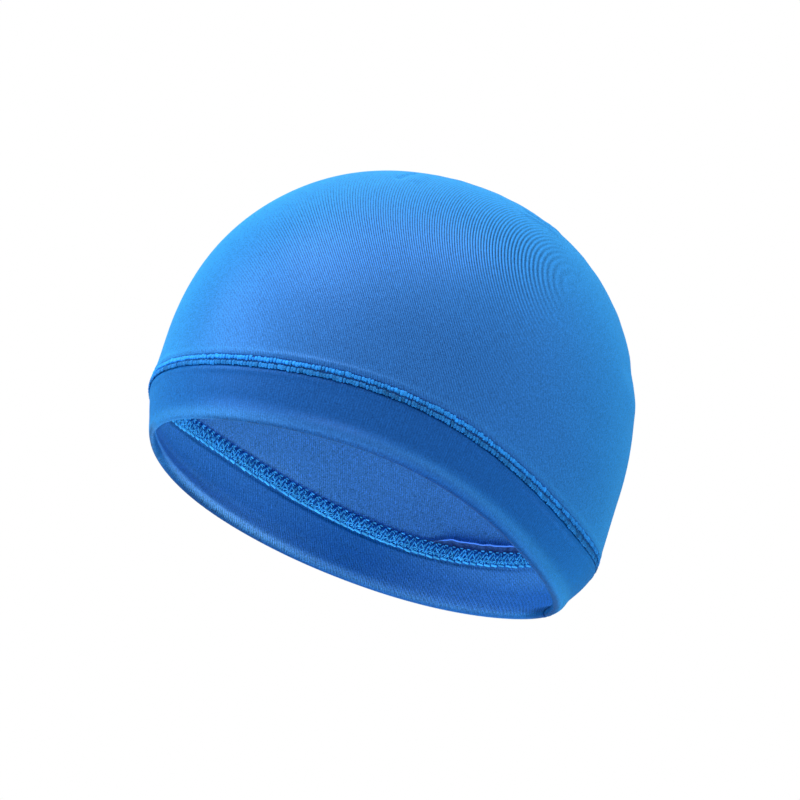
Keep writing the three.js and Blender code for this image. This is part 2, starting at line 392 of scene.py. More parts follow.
def grid_faces(columns, rows, closed_columns=True, closed_rows=False, first=0):
    """Quads of a grid whose points run row by row within each column."""
    faces = []
    for i in range(columns if closed_columns else columns - 1):
        here = first + i * rows
        after = first + ((i + 1) % columns) * rows
        for k in range(rows if closed_rows else rows - 1):
            up = (k + 1) % rows
            faces.append((here + k, after + k, after + up, here + up))
    return faces


def tube_faces(columns, rows, first=0):
    """Faces of a tube whose columns are its rings, with a cap at both ends."""
    faces = grid_faces(columns, rows, closed_columns=False, closed_rows=True, first=first)
    faces.append(tuple(range(first, first + rows)))
    last = first + (columns - 1) * rows
    faces.append(tuple(reversed(range(last, last + rows))))
    return faces


def turned(faces):
    return [tuple(reversed(face)) for face in faces]


def column_angles():
    """Angles all round, with finer steps across the band's closing seam."""
    even = np.arange(COLUMNS) * TURN / COLUMNS
    steps = np.array([0.25, 0.5, 0.8, 1.2, 1.8, 2.6]) / HALF_WIDTH
    fine = CLOSING_SEAM + np.concatenate([-steps[::-1], [0], steps])
    past_seam = (even - fine[0]) % TURN
    clear = (past_seam > fine[-1] - fine[0] + COLUMN_GAP) & (past_seam < TURN - COLUMN_GAP)
    return np.concatenate([fine, fine[0] + np.sort(past_seam[clear])])


def crown_knit(points):
    """The knit on the crown: places across and along the wales, and where the wales and the even lines show.

    The lines show on the wearer's left, and the wales between them, but not round the crown's two ends.
    """
    x, y, z = np.moveaxis(points, -1, 0)
    reach = 1.04 * HALF_LENGTH
    along_side = reach * np.arcsin(np.clip(y / reach, -1, 1))
    wale = WALE_RUN["along"] * along_side + WALE_RUN["up"] * z + WALE_BEND * np.maximum(y - 10, 0) * z
    course = -WALE_RUN["up"] * along_side + WALE_RUN["along"] * z
    back, up = y / FLOW_REACH, (z - FLOW_LEVEL) / FLOW_REACH
    flow = FLOW["back"] * back + FLOW["back_square"] * back**2 + FLOW["back_cube"] * back**3
    flow += FLOW["up"] * up + FLOW["up_square"] * up**2 + FLOW["up_cube"] * up**3 + FLOW["both"] * back * up
    flow_share = 0 * y
    for place in FLOW_PLACES.values():
        away = np.hypot((y - place["y"]) / place["reach_y"], (z - place["z"]) / place["reach_z"])
        flow_share += place["strength"] * hill(away, 1.0)
    flow_share *= smooth((40 - y) / 34) * smooth((x - 22) / 20)
    from_ends = np.hypot(x / HALF_WIDTH, (z - ENDS_HEIGHT) / HALF_LENGTH)
    plain_share = (1 - flow_share) * smooth((from_ends - 0.25) / 0.4)
    return dict(wale=wale, course=course, flow=flow, flow_share=flow_share, plain_share=plain_share)


def crown_levels(seam, near, middle_count, top_count):
    """Levels of the crown's rows: at given distances above the band seam, then up to the top."""
    low_levels = level_at(seam + near[None, :])
    start = low_levels[:, -1:]
    middle_levels = start + (2.0 - start) * np.linspace(0, 1, middle_count)[None, 1:]
    top_levels = 2 + np.linspace(0, 1, top_count)[1:-1][None, :] + 0 * seam
    return np.concatenate([low_levels, middle_levels, top_levels], axis=1)


def dome_faces(columns, rows):
    """Quads all round the dome, and a fan up to each of the two points at its top, outside and inside."""
    faces = grid_faces(columns, rows)
    outer_top, inner_top = columns * rows, columns * rows + 1
    for i in range(columns):
        here, after = i * rows, ((i + 1) % columns) * rows
        faces.append((after, here, outer_top))
        faces.append((here + rows - 1, after + rows - 1, inner_top))
    return faces


def crown_values(outer, inner, top):
    """Numbers for the crown's points: outside from the top down, inside upward, and at the two top points."""
    return np.concatenate([np.concatenate([outer[:, ::-1], inner], axis=1).ravel(), top])


def crown_piece(material):
    """The dome: its rows lie close together beside the band seam and over the top."""
    angles = column_angles()[:, None]
    seam = edge_height("seam", angles)
    outer_levels = crown_levels(seam, np.concatenate([BESIDE_STITCHES, PAST_STITCHES]), 9, 140)
    inner_levels = crown_levels(seam, np.array([0.12, 1.5, 4.0, 8.0, 13.0]), 5, 44)
    base, out = surface(angles, outer_levels), outward(angles, outer_levels)
    above = base[..., 2] - seam
    soft = slack(base) * smooth(above / 12) + fold_relief(base)
    relief = soft + stitch_relief(above, ROW_END + ROW_MIDDLE) + crown_seam_relief(base)
    outer = base + out * relief[..., None]
    inner_base, inner_out = surface(angles, inner_levels), outward(angles, inner_levels)
    inner_above = inner_base[..., 2] - seam
    inner_soft = slack(inner_base) * smooth(inner_above / 12) - 0.45 * smooth((4 - inner_above) / 2)
    inner = inner_base + inner_out * (inner_soft - PLY)[..., None]
    top = np.array([[0.0, TOP_SHIFT, TOP_HEIGHT], [0.0, TOP_SHIFT, TOP_HEIGHT - PLY]])
    section = np.concatenate([outer[:, ::-1], inner], axis=1)
    points = np.concatenate([section.reshape(-1, 3), top])
    # Painted light on the crown's inside just above the inner strip, over the front half
    lit = hill(inner_above - 6, 4) * smooth((0.1 - np.cos(angles)) / 0.5)
    shade = crown_values(stitch_shade(above, ROW_END + ROW_MIDDLE), 0 * inner_above, (0, 0))
    inside = crown_values(0 * above, 1 + 0 * inner_above, (0, 1))
    double = crown_values(0 * above, -1.4 * lit, (0, 0))
    piece = new_object(
        "crown_cloth", points, dome_faces(*section.shape[:2]), material, "cloth",
        shade=shade, inside=inside, double=double, **crown_knit(points),
    )
    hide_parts("crown")
    return piece


def listed(section, *keys):
    return np.stack([section[key] for key in keys], axis=1)


def rounded(corners, rounds=2):
    """A line with its corners cut again and again, so that it bends softly."""
    for _ in range(rounds):
        first = 0.75 * corners[:-1] + 0.25 * corners[1:]
        second = 0.25 * corners[:-1] + 0.75 * corners[1:]
        cut = np.stack([first, second], axis=1).reshape(-1, 2)
        corners = np.concatenate([corners[:1], cut, corners[-1:]])
    return corners


def band_section(angles):
    """The band's section at each angle, down outside, round the fold and up inside.

    For each point it gives how far it lies out of the surface, its height, and whether it is outside.
    """
    seam = edge_height("seam", angles)
    joint = hill((angles - CLOSING_SEAM) * HALF_WIDTH, 0.9)
    low = edge_height("rim", angles) - RIM_DROP + 0.8 * joint
    inner_top = edge_height("allowance", angles) + TUCK
    corner = place_share("corner", angles)
    side = (0.45 + 0.55 * np.abs(np.sin(angles)) ** 1.5) * (0.62 + 0.38 * np.sin(angles)) + 0.5 * corner
    inner_side = 0.15 + 0.6 * place_share("fold_front", angles) + 0.5 * smooth(np.sin(angles))
    fold = rounded(listed(RIM_FOLD, "out", "up"))
    swell = rounded(listed(RIM_FOLD, "swell", "up"))[:, 0]
    fold_out = fold[:, 0] + np.where(swell > 0, swell * side[:, None], swell * inner_side[:, None])
    inner_part = np.arange(len(fold)) > fold[:, 1].argmin()
    fold_out += 0.6 * place_share("brow", angles)[:, None] * inner_part * hill(fold[:, 1] - 1.8, 1.6)
    fold_height = low[:, None] + fold[:, 1]
    beside = seam[:, None] - BESIDE_STITCHES
    top = low + FOLD_HEIGHT
    down = np.linspace(0, 1, 9)[1:-1]
    outer_height = np.concatenate([beside, beside[:, -1:] + (top[:, None] - beside[:, -1:]) * down], axis=1)
    up = np.linspace(0, 1, 16)[1:]
    inner_height = top[:, None] + (inner_top - top)[:, None] * up
    outer_ease = 1 - smooth((outer_height - top[:, None]) / FOLD_EASE)
    inner_ease = 1 - smooth((inner_height - top[:, None]) / FOLD_EASE)
    outer_out = fold_out[:, :1] * outer_ease
    inner_out = -BAND_CLOTH + (fold_out[:, -1:] + BAND_CLOTH) * inner_ease
    out = np.concatenate([outer_out, fold_out, inner_out], axis=1)
    height = np.concatenate([outer_height, fold_height, inner_height], axis=1)
    outside = np.arange(height.shape[1]) < outer_height.shape[1] + fold[:, 1].argmin()
    share = np.clip((seam[:, None] - height) / (seam[:, None] - low[:, None]), 0, 1)
    share = np.where(outside, share, 1)
    hollow = BAND_HOLLOW * (1 - corner)[:, None]
    return out - hollow * np.sin(math.pi * share**0.7), height, outside


def both_faces(face, back):
    """Values of a ply's face and of its back, whose rows run the other way."""
    return np.concatenate([face, back[:, ::-1]], axis=1)


def band_tones(angles, out, height, outside):
    """How far the band's points have the knit's inner colour, how deep it is, and how dark the rim's edge is.

    A painted highlight runs along the fold outside, a narrower one inside, brightest at the fold's front.
    Inside, painted light makes the back lighter and painted shade the far side deeper.
    Painted shade darkens the rim's edge.
    """
    up = height - (edge_height("rim", angles) - RIM_DROP)[:, None]
    angles = angles[:, None]
    brow, front = place_share("brow", angles), place_share("fold_front", angles)
    near = smooth(np.cos(angles - NEAR_SIDE) / 0.3)
    back = smooth((np.cos(angles) - 0.2) / 0.7)
    past_brow = between(angles, *PAST_BROW, math.radians(8)) * smooth((3.5 - up) / 2)
    inner_share = np.where(outside, 0, smooth((-1.0 - out) / 2.0))
    inside = inner_share + (np.where(outside, 0, smooth(up / 7)) - inner_share) * brow
    inside += (1 - inside) * past_brow
    # Painted shade at the rim's edge: right at it on the far side, on the near side over the fold and up
    # inside
    far_edge_shade = hill(up, 1.1) * (1 - 0.8 * brow) * (0.35 + 0.65 * front)
    near_edge_shade = np.where(outside, smooth((2.4 - up) / 2.4), smooth((6 - up) / 3)) * (1 - brow)
    edge = far_edge_shade + (near_edge_shade - far_edge_shade) * near
    # Painted highlight along the fold outside, brightest at the highlight place
    stripe_up = 4.0 - 1.6 * smooth((0.05 - np.cos(angles)) / 0.45)
    outer_painted_highlight = hill(up - stripe_up, 2.1 + 1.2 * back)
    outer_depth = 1 - (1.1 + 1.1 * place_share("highlight", angles) - 0.5 * brow) * outer_painted_highlight
    # Painted light inside: a highlight along the fold and a lighter back; painted shade deepens the far side
    inner_painted_highlight = hill(up - 2.8, 1.2) * (3.2 * front - 0.5)
    far_painted_shade = 1.3 * place_share("far_side", angles) * smooth((up - 2.5) / 3)
    inner_painted_light = inner_painted_highlight + 0.35 + 1.8 * back - far_painted_shade
    double = (1 - inside) * outer_depth - inside * inner_painted_light * (1 - near_edge_shade * near)
    # Painted light lightens the band's inside at the brow
    double += (1 - double) * past_brow - 0.7 * brow * ~outside * (1 - past_brow)
    return inside, double, edge


def band_knit(angles, height, outside, inside):
    """The knit on the band: how far points lie across and along the wales, and the even lines inside."""
    steps = np.concatenate([[0], np.linalg.norm(np.diff(surface(angles, 0.5), axis=0), axis=1)])
    up = height - height.min(axis=1, keepdims=True)
    outer_lean = OUTER_LEAN * place_share("back", angles)[:, None]
    wale = np.cumsum(steps)[:, None] - np.where(outside, outer_lean, INNER_LEAN) * up
    at_back = smooth((np.cos(angles) + 0.15) / 0.75)
    lean = LINE_LEAN["side"] + (LINE_LEAN["back"] - LINE_LEAN["side"]) * at_back
    pitch = LINE_PITCH * np.hypot(1, lean)
    flow = np.cumsum(steps / pitch)[:, None] - (lean / pitch)[:, None] * up
    flow_share = LINE_STRENGTH * inside
    knit = dict(wale=wale, course=height, flow=flow, flow_share=flow_share, plain_share=1 + 0 * wale)
    return {name: both_faces(values, values) for name, values in knit.items()}


def band_piece(material):
    """The band: one strip, folded lengthwise at the rim, with its two plies apart in the fold."""
    angles = column_angles()
    seam = edge_height("seam", angles)[:, None]
    strip_edge = edge_height("allowance", angles)[:, None]
    out, height, outside = band_section(angles)
    slope_out, slope_height = np.gradient(out, axis=1), np.gradient(height, axis=1)
    length = np.hypot(slope_out, slope_height)
    below = np.where(outside, seam - height, TOP_HEIGHT)
    turns = angles[:, None] + 0 * height
    plain = beside_surface(turns, height, out)
    back = beside_surface(turns, height - PLY * slope_out / length, out + PLY * slope_height / length)
    from_joint = closing_seam(plain)
    groove = 0.45 * hill(from_joint, 0.45) - 0.12 * hill(from_joint - 1.6, 1.0)
    face = beside_surface(turns, height, out + stitch_relief(below, ROW_END - ROW_MIDDLE))
    face = face + unit(back - plain) * groove[..., None]
    section = both_faces(face, back)
    faces = grid_faces(*section.shape[:2], closed_rows=True)
    inside, double, edge = band_tones(angles, out, height, outside)
    shade = np.maximum(stitch_shade(below, ROW_END - ROW_MIDDLE), 0.8 * hill(from_joint, 0.35))
    # Painted shadow on the band's inside just below the inner strip's lower edge
    shade = np.maximum(shade, 0.9 * hill(height - strip_edge + 0.75, 0.5) * ~outside)
    # Painted shade at the rim's edge, on both faces of the ply
    shade = both_faces(np.maximum(shade, 1.25 * edge), 1.25 * edge)
    piece = new_object(
        "band_cloth", section, faces, material, "cloth",
        shade=shade, inside=both_faces(inside, inside), double=both_faces(double, double),
        **band_knit(angles, height, outside, inside),
    )
    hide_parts("band")
    return piece


# The sewn-down allowance inside: how far its rows lie up from its lower edge, and their back and front depths
STRIP_SECTION = {
    "up": (0.0, 0.35, 2.0, 2.6, 4.5, 6.8, 7.4, 7.75),
    "back": (2.2, 2.15, 2.15, 1.3, 1.2, 1.1, 1.1, 1.15),
    "front": (2.5, 2.7, 2.8, 2.8, 2.6, 2.2, 1.75, 1.45),
}


def allowance_piece(material):
    """The seam allowance inside, between the crown and the stitches that hold it."""
    angles = column_angles()
    low = edge_height("allowance", angles)[:, None]
    up, back, front = listed(STRIP_SECTION, "up", "back", "front").T
    turns = angles[:, None] + 0 * up
    facing_crown = beside_surface(turns, low + up, -back + 0 * turns)
    facing_head = beside_surface(turns, low + up, -front + 0 * turns)
    section = both_faces(facing_crown, facing_head)
    faces = turned(grid_faces(*section.shape[:2], closed_rows=True))
    piece = new_object("band_allowance_cloth", section, faces, material, "thread")
    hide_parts("band_seam_allowance")
    return piece


# The raw edge that stands free above the inner stitching at the back and curls towards the head
RAW_EDGE_START = math.radians(-60)
RAW_EDGE_END = math.radians(14)
RAW_EDGE_EASE = math.radians(9)
RAW_EDGE_HALF = 0.27  # half its thickness
UNEVEN_ABOVE = 8.8
RAW_EDGE_SECTION = {
    "up": (7.0, 8.6, 9.4, 9.9, 10.05, 9.8),
    "depth": (1.7, 1.6, 1.9, 2.5, 3.1, 3.5),
}


def raw_edge_piece(material):
    """The raw edge, rising out of the stitching at both ends, with a painted highlight along its curled tip.
    """
    angles = np.linspace(RAW_EDGE_START, RAW_EDGE_END, 140)
    shown = between(angles, RAW_EDGE_START, RAW_EDGE_END, RAW_EDGE_EASE)
    low = edge_height("allowance", angles)[:, None]
    curve = rounded(listed(RAW_EDGE_SECTION, "up", "depth"))
    uneven = 0.12 * np.sin(angles * 61) + 0.1 * np.sin(angles * 97 + 1)
    start_up, start_depth = curve[0]
    share = (0.12 + 0.88 * shown)[:, None]
    up = start_up + (curve[:, 0] - start_up + uneven[:, None] * (curve[:, 0] > UNEVEN_ABOVE)) * share
    depth = start_depth + (curve[:, 1] - start_depth) * share
    slope_up, slope_depth = np.gradient(up, axis=1), np.gradient(depth, axis=1)
    length = np.hypot(slope_up, slope_depth)
    aside_up, aside_depth = RAW_EDGE_HALF * slope_depth / length, RAW_EDGE_HALF * slope_up / length
    turns = angles[:, None] + 0 * up
    front = beside_surface(turns, low + up - aside_up, -depth - aside_depth)
    back = beside_surface(turns, low + up + aside_up, -depth + aside_depth)
    section = both_faces(back, front)
    faces = turned(tube_faces(*section.shape[:2]))
    # Painted highlight along the curled tip, and painted shade over the rest of the edge
    tone = 11 * smooth((depth - 2.6) / 0.6) - 5
    return new_object("raw_edge_cloth", section, faces, material, "cloth", tone=both_faces(tone, tone))


# Stitches
def variations(sizes, count):
    """For each name, how much each of a number of stitches differs in it."""
    return {name: size * random.standard_normal((count, 1)) for name, size in sizes.items()}


def strands(paths, normals, half_width, half_height, tone=0.0):
    """Closed threads with tapered ends along many paths at once: their points, faces and tones."""
    count, steps = paths.shape[:2]
    along = unit(np.gradient(paths, axis=1))
    across = unit(np.cross(along, normals))
    lift = np.cross(across, along)
    turns = np.arange(SIDES) * TURN / SIDES
    taper = np.ones(steps)
    taper[[0, -1]] = 0.5
    width = np.broadcast_to(half_width, (count,))[:, None, None, None]
    height = np.broadcast_to(half_height, (count,))[:, None, None, None]
    ring = width * np.cos(turns)[:, None] * across[:, :, None]
    ring = ring + height * np.sin(turns)[:, None] * lift[:, :, None]
    points = paths[:, :, None] + taper[:, None, None] * ring
    faces = []
    for i in range(count):
        faces += tube_faces(steps, SIDES, first=i * steps * SIDES)
    tones = np.repeat(tone + random.standard_normal(count), steps * SIDES)
    return points.reshape(-1, 3), faces, tones


def thread_object(name, parts, material):
    """One object from several sets of threads, each thread a little lighter or darker than the next."""
    points, faces, first = [], [], 0
    for part_points, part_faces, _ in parts:
        points.append(part_points)
        faces += [tuple(index + first for index in face) for face in part_faces]
        first += len(part_points)
    tone = np.concatenate([part[2] for part in parts])
    return new_object(name, np.concatenate(points), faces, material, "thread", tone=tone)


def stitch_paths(edge, angles, along, up, out):
    """Paths beside an edge, one for each angle: along it in pitches, up from it and out of the surface."""
    pitch = TURN / len(angles)
    turns = angles[:, None] + along * pitch
    heights = edge_height(edge, turns) + up
    paths = beside_surface(turns, heights, out)
    return paths, outward(turns, level_at(heights))


def ladder_stitches(material):
    """Two rows of thread wrapped across the band seam outside, one on the crown and one on the band."""
    angles = even_angles("seam", LADDER_PITCH)
    count = len(angles)
    share = np.linspace(0, 1, 8)
    parts = []
    wave = TURN * np.arange(count)[:, None] * LADDER_PITCH / GROOVE_WAVE["pitch"]
    wave = GROOVE_WAVE["depth"] * np.sin(wave)
    at_front = smooth((-np.cos(angles) - 0.4) / 0.5)
    for side in (1, -1):
        more = variations(LADDER_VARIES, count)
        along = (share - 0.5) * (LADDER["lean"] + more["lean"]) * side + more["shift"]
        start = ROW_START + side * wave + more["start"]
        end = ROW_END + more["end"]
        up = ROW_MIDDLE + side * (start + (end - start) * share)
        out = LADDER["raised"] * (1 + more["raised"]) * np.sin(share * math.pi) ** 0.6 - LADDER["sunk"]
        half_width = LADDER["half_width"] * (1 + more["half_width"][:, 0])
        # Painted light and shade: the upper row lighter, the lower darker, both lighter towards the front
        tone = 1.4 * side - 1.2 + (3.2 + 1.4 * side) * at_front
        paths, normals = stitch_paths("seam", angles, along, up, out)
        parts.append(strands(paths, normals, half_width, LADDER["half_height"], tone))
    return thread_object("outer_stitching", parts, material)


# One repeat of the inner stitching. Along counts pitches, up is in millimetres from the lower edge.
CHAIN_STRANDS = {
    "lower_link": {"half_width": 0.6, "path": ((-0.02, 0.75), (0.2, 0.66), (0.55, 0.44), (0.84, 0.26))},
    "hook": {
        "half_width": 0.32,
        "path": ((0.08, 0.8), (0.0, 1.5), (0.08, 2.3), (0.32, 2.75), (0.55, 2.4), (0.5, 1.8), (0.28, 1.6)),
    },
    "left_leg": {"half_width": 0.33, "path": ((0.62, 0.9), (0.7, 2.0), (0.85, 3.6), (1.02, 5.3))},
    "right_leg": {"half_width": 0.33, "path": ((0.02, 5.3), (0.2, 4.3), (0.38, 3.4), (0.52, 2.7))},
    "upper_leg": {"half_width": 0.3, "path": ((0.42, 3.7), (0.6, 4.9), (0.75, 6.2), (0.86, 7.1))},
    "upper_link": {"half_width": 0.42, "path": ((0.05, 7.35), (0.3, 7.45), (0.52, 7.4))},
    "inner_tie": {"half_width": 0.28, "path": ((0.3, 3.3), (0.42, 4.5), (0.5, 5.7))},
    "side_tie": {"half_width": 0.28, "path": ((0.76, 3.1), (0.88, 2.3), (0.97, 1.5))},
    "tie": {"half_width": 0.27, "path": ((0.86, 7.0), (1.0, 6.3), (1.12, 5.6))},
}


def chain_stitches(material):
    """The cover stitching inside: links along both edges, hooks and crossing legs."""
    angles = even_angles("allowance", CHAIN_PITCH)
    count = len(angles)
    strip_up, strip_front = listed(STRIP_SECTION, "up", "front").T
    parts = []
    for strand in CHAIN_STRANDS.values():
        corners = rounded(np.array(strand["path"]), rounds=1)
        more = variations(CHAIN_VARIES, count)
        along = corners[:, 0] + more["along"]
        up = corners[:, 1] + more["up"]
        out = -np.interp(up, strip_up, strip_front) - STRAND_LIFT + more["out"]
        half_width = strand["half_width"] * (1 + more["half_width"][:, 0])
        paths, normals = stitch_paths("allowance", angles, along, up, out)
        parts.append(strands(paths, normals, half_width, 0.85 * half_width))
    return thread_object("inner_stitching", parts, material)


# The crown's own seam
def crown_seam_points(count, start, end):
    """Places of the crown's own seam on the outer surface, as angles and levels."""
    directions = np.linspace(start, end, count)
    offset, turn, lean = SEAM_PLANE["offset"], SEAM_PLANE["turn"], SEAM_PLANE["lean"]
    rise = SEAM_CENTRE_HEIGHT - LEVELS["seam"]["height"]
    centre = np.array([offset + lean * rise, 0, SEAM_CENTRE_HEIGHT])
    upward = unit(np.array([lean, 0, 1.0]))
    backward = unit(np.array([turn, 1.0, 0]))
    heading = np.cos(directions)[:, None] * upward + np.sin(directions)[:, None] * backward
    inside, outside = np.zeros(count), np.full(count, 2 * TOP_HEIGHT)
    for _ in range(40):
        middle = (inside + outside) / 2
        points = centre + heading * middle[:, None]
        along, across, fullness = plan_shares(points)
        is_inside = (points[:, 2] < TOP_HEIGHT) & (np.abs(along) ** fullness + np.abs(across) ** fullness < 1)
        inside, outside = np.where(is_inside, middle, inside), np.where(is_inside, outside, middle)
    points = centre + heading * inside[:, None]
    along, across, _ = plan_shares(points)
    return np.arctan2(across, along), level_at(points[:, 2])


def plan_shares(points):
    section = section_at(level_at(points[:, 2]))
    along = (points[:, 1] - section["shift"]) / np.maximum(HALF_LENGTH * section["length"], 1e-6)
    across = points[:, 0] / np.maximum(HALF_WIDTH * section["width"] * (1 + section["egg"] * along), 1e-6)
    return along, across, section["fullness"]


def crown_allowance_piece(material):
    """The allowance inside the crown's own seam: a narrow strip with its overcast edge."""
    angle, level = crown_seam_points(160, SEAM_FRONT, SEAM_BACK)
    base, out = surface(angle, level), outward(angle, level)
    across = unit(np.cross(np.gradient(base, axis=0), out))
    half = CROWN_ALLOWANCE_WIDTH / 2
    near, far = 1.4, 1.4 + ALLOWANCE_CLOTH
    corners = ((-half, far - 0.2), (-half + 0.4, far), (half - 0.4, far), (half, far - 0.2))
    corners += ((half, near + 0.2), (half - 0.4, near), (-half + 0.4, near), (-half, near + 0.2))
    section = np.stack([base - out * depth + across * side for side, depth in corners], axis=1)
    faces = tube_faces(*section.shape[:2])
    piece = new_object("crown_allowance_cloth", section, faces, material, "thread")
    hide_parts("crown_seam_allowance")
    return piece


# Materials
def new_material(name):
    material = bpy.data.materials.new(name)
    material.use_nodes = True
    nodes, links = material.node_tree.nodes, material.node_tree.links
    nodes.clear()
    output = nodes.new("ShaderNodeOutputMaterial")
    shader = nodes.new("ShaderNodeBsdfPrincipled")
    links.new(shader.outputs["BSDF"], output.inputs["Surface"])
    return material, nodes, links, shader


class Graph:
    """Short calls for the number nodes of one material."""

    def __init__(self, nodes, links):
        self.nodes, self.links = nodes, links

    def put(self, socket, value):
        if isinstance(value, (int, float, tuple)):
            socket.default_value = value
        else:
            self.links.new(value, socket)

    def math(self, operation, first, second=0.0):
        node = self.nodes.new("ShaderNodeMath")
        node.operation = operation
        self.put(node.inputs[0], first)
        self.put(node.inputs[1], second)
        return node.outputs[0]

    def attribute(self, name):
        node = self.nodes.new("ShaderNodeAttribute")
        node.attribute_name = name
        return node.outputs["Fac"]

    def wave(self, phase, pitch):
        return self.math("SINE", self.math("MULTIPLY", phase, TURN / pitch))

    def noise(self, vector, scale):
        """Noise from about -1 to 1."""
        node = self.nodes.new("ShaderNodeTexNoise")
        node.inputs["Scale"].default_value = scale
        self.links.new(vector, node.inputs["Vector"])
        return self.math("MULTIPLY", self.math("SUBTRACT", node.outputs["Fac"], 0.5), 2.0)

    def vector(self, x, y, z=0.0):
        node = self.nodes.new("ShaderNodeCombineXYZ")
        self.put(node.inputs[0], x)
        self.put(node.inputs[1], y)
        self.put(node.inputs[2], z)
        return node.outputs[0]

    def object_place(self):
        return self.nodes.new("ShaderNodeTexCoord").outputs["Object"]

    def total(self, base, *terms):
        """A base number with each term's socket times its size added."""
        result = base
        for socket, size in terms:
            scaled = self.math("MULTIPLY", socket, size)
            result = self.math("ADD", scaled, result)
        return result

    def vector_math(self, operation, *values):
        node = self.nodes.new("ShaderNodeVectorMath")
        node.operation = operation
        for i, value in enumerate(values):
            self.put(node.inputs[i], value)
        return node.outputs[0]

    def painted_sheen_colour(self, middle, added, power):
        """Painted sheen: a colour with more added where the surface turns away, as hairs catch the light."""
        weight = self.nodes.new("ShaderNodeLayerWeight")
        share = self.math("POWER", weight.outputs["Facing"], power)
        return self.vector_math("MULTIPLY_ADD", added, self.vector(share, share, share), middle)

    def mixed(self, first, second, share):
        node = self.nodes.new("ShaderNodeMix")
        node.data_type = "VECTOR"
        self.put(node.inputs["Factor"], share)
        self.links.new(first, node.inputs["A"])
        node.inputs["B"].default_value = second
        return node.outputs["Result"]

    def deeper(self, colour, tint, share):
        """A colour multiplied by a tint, as far as the share says."""
        taken = tuple(channel - 1 for channel in tint)
        factor = self.vector_math("MULTIPLY_ADD", taken, self.vector(share, share, share), (1.0, 1.0, 1.0))
        return self.vector_math("MULTIPLY", colour, factor)

    def scaled(self, colour, brightness):
        node = self.nodes.new("ShaderNodeVectorMath")
        node.operation = "SCALE"
        self.put(node.inputs[0], colour)
        self.put(node.inputs["Scale"], brightness)
        return node.outputs[0]

    def bump(self, height, distance):
        node = self.nodes.new("ShaderNodeBump")
        node.inputs["Distance"].default_value = distance
        self.links.new(height, node.inputs["Height"])
        return node.outputs["Normal"]


def jersey_material():
    """Fine stretch knit: wales broken into short dashes, and clearer lines where it is stretched."""
    material, nodes, links, shader = new_material("jersey")
    graph = Graph(nodes, links)
    wale, course = graph.attribute("wale"), graph.attribute("course")
    flow, flow_share, shade = graph.attribute("flow"), graph.attribute("flow_share"), graph.attribute("shade")
    inside, plain_share = graph.attribute("inside"), graph.attribute("plain_share")
    place = graph.object_place()
    dashes = graph.noise(graph.vector(wale, graph.math("MULTIPLY", course, 0.45)), GRAINS["dashes"])
    speckle = graph.noise(place, GRAINS["speckle"])
    speckle = graph.math("MULTIPLY", speckle, graph.total(1.0, (inside, 0.6)))
    clouds = graph.noise(place, GRAINS["clouds"])
    wales = graph.math("MULTIPLY", graph.wave(wale, WALE_PITCH), graph.total(0.3, (dashes, 1.1)))
    lines = graph.math("MULTIPLY", graph.wave(flow, 1.0), flow_share)
    knit = graph.total(0.0, (graph.math("MULTIPLY", wales, plain_share), 1.0), (dashes, 0.5))
    knit_tone = graph.total(KNIT_TONES["outside"], (inside, KNIT_TONES["inside_more"]))
    parts = {"lines": lines, "speckle": speckle, "clouds": clouds, "shade": shade}
    terms = [(socket, CLOTH_TONES[name]) for name, socket in parts.items()]
    texture = graph.total(1.0, (graph.math("MULTIPLY", knit, knit_tone), 1.0), *terms)
    # How much of the tint: more for the doubled band and for painted shade, less for painted light
    depth = graph.total(0.0, (graph.attribute("double"), 1.0), (shade, 0.8))
    # Painted sheen: more colour added outside where the surface turns away from view
    outer_colour = graph.painted_sheen_colour(FACING_COLOUR, PAINTED_SHEEN_COLOUR, 1.5)
    colour = graph.mixed(outer_colour, PAINTED_LIGHT_INNER_COLOUR, inside)
    links.new(graph.scaled(graph.deeper(colour, DEPTH_AND_SHADE_TINT, depth), texture), shader.inputs["Base Color"])
    parts = {"knit": knit, "lines": lines, "speckle": speckle}
    relief = graph.total(0.0, *[(socket, CLOTH_RELIEF[name]) for name, socket in parts.items()])
    links.new(graph.bump(relief, 0.00006), shader.inputs["Normal"])
    links.new(graph.total(0.4, (clouds, 0.04), (dashes, 0.05)), shader.inputs["Roughness"])
    shader.inputs["Metallic"].default_value = SATIN
    shader.inputs["Specular IOR Level"].default_value = 0.11
    return material


def thread_material(name, colour):
    """Soft crimped thread: fine filaments with small light and dark spots."""
    material, nodes, links, shader = new_material(name)
    graph = Graph(nodes, links)
    place = graph.object_place()
    filaments = graph.noise(place, GRAINS["filaments"])
    tufts = graph.noise(place, GRAINS["tufts"])
    parts = {"filaments": filaments, "tufts": tufts, "tone": graph.attribute("tone")}
    brightness = graph.total(1.0, *[(socket, THREAD_TONES[name]) for name, socket in parts.items()])
    links.new(graph.scaled(colour, brightness), shader.inputs["Base Color"])
    links.new(graph.bump(graph.total(0.0, (filaments, 0.6), (tufts, 1.0)), 0.0002), shader.inputs["Normal"])
    shader.inputs["Roughness"].default_value = 0.5
    shader.inputs["Specular IOR Level"].default_value = 0.12
    return material


def floor_material():
    material, nodes, links, shader = new_material("pale_floor")
    shader.inputs["Base Color"].default_value = (0.85, 0.85, 0.86, 1)
    shader.inputs["Roughness"].default_value = 0.8
    return material


# Light, camera and floor
def area_light(name, place, aim, size, power, colour, gloss=False, spread=180.0):
    data = bpy.data.lights.new(name, "AREA")
    data.shape = "DISK"
    data.size = size
    data.energy = power
    data.color = colour
    data.spread = math.radians(spread)
    light = bpy.data.objects.new(name, data)
    light.location = place
    light.rotation_euler = (Vector(aim) - Vector(place)).to_track_quat("-Z", "Y").to_euler()
    light.visible_camera = False
    light.visible_glossy = gloss
    bpy.context.scene.collection.objects.link(light)


